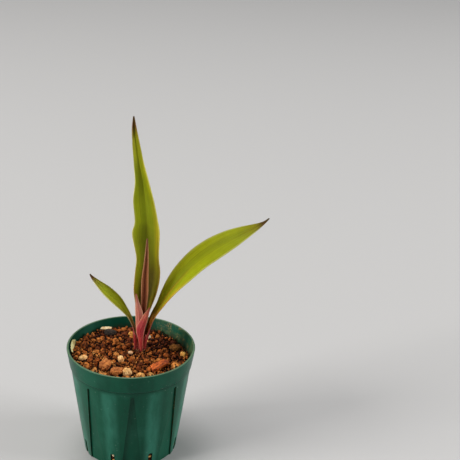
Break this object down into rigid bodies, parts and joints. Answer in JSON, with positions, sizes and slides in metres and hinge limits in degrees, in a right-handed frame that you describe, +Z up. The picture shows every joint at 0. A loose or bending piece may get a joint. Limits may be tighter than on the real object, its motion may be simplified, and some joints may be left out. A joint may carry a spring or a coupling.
{
  "type": "potted pitcairnia",
  "caption": "Young bromeliad with tall, channelled strap leaves and clasping red sheaths in gritty soil, in a round green slit-sided nursery pot with a collar.",
  "frame": {"origin": "middle of the pot's foot, on the surface that it stands on", "axes": "+Z up the pot's axis; -Y is the front, square to one of the pot's sunken panels; +X to the right, where the long arching leaf reaches"},
  "size_m": [0.1162, 0.0734, 0.1955],
  "materials": {
    "pot_green": "satin moulded plastic, dark green",
    "leaf": "thin leaf, satin, olive green with a darker channel",
    "spear": "folded young leaf, red brown",
    "sheath": "pale red leaf sheath with fine scurf",
    "crown_red": "dark red stem",
    "scale": "small dry red scale leaf",
    "soil": "matt, gritty brown granules",
    "pumice": "matt pale porous stone",
    "ochre": "matt ochre stone",
    "dark_stone": "matt dark crumb",
    "clay": "matt baked clay lump",
    "bark": "rough red brown bark",
    "husk": "thin dry pale husk"
  },
  "bodies": {
    "root": {"pot": "pot_green", "crown": "crown_red", "spear": "spear", "leaf_tall": "leaf", "sheath_left": "sheath", "sheath_front": "sheath", "leaf_right": "leaf", "leaf_left": "leaf", "scale_left": "scale", "scale_right": "scale", "scale_back": "scale", "pumice_front": "pumice", "pumice_middle": "pumice", "pumice_left": "pumice", "pumice_crown": "pumice", "pumice_right": "pumice", "ochre_stone": "ochre", "dark_stone": "dark_stone", "clay_lump_left": "clay", "clay_lump_front": "clay", "clay_lump_right": "clay", "bark_chip": "bark", "pale_flake": "pumice", "husk_flake": "husk", "soil": "soil"}
  },
  "joints": []
}
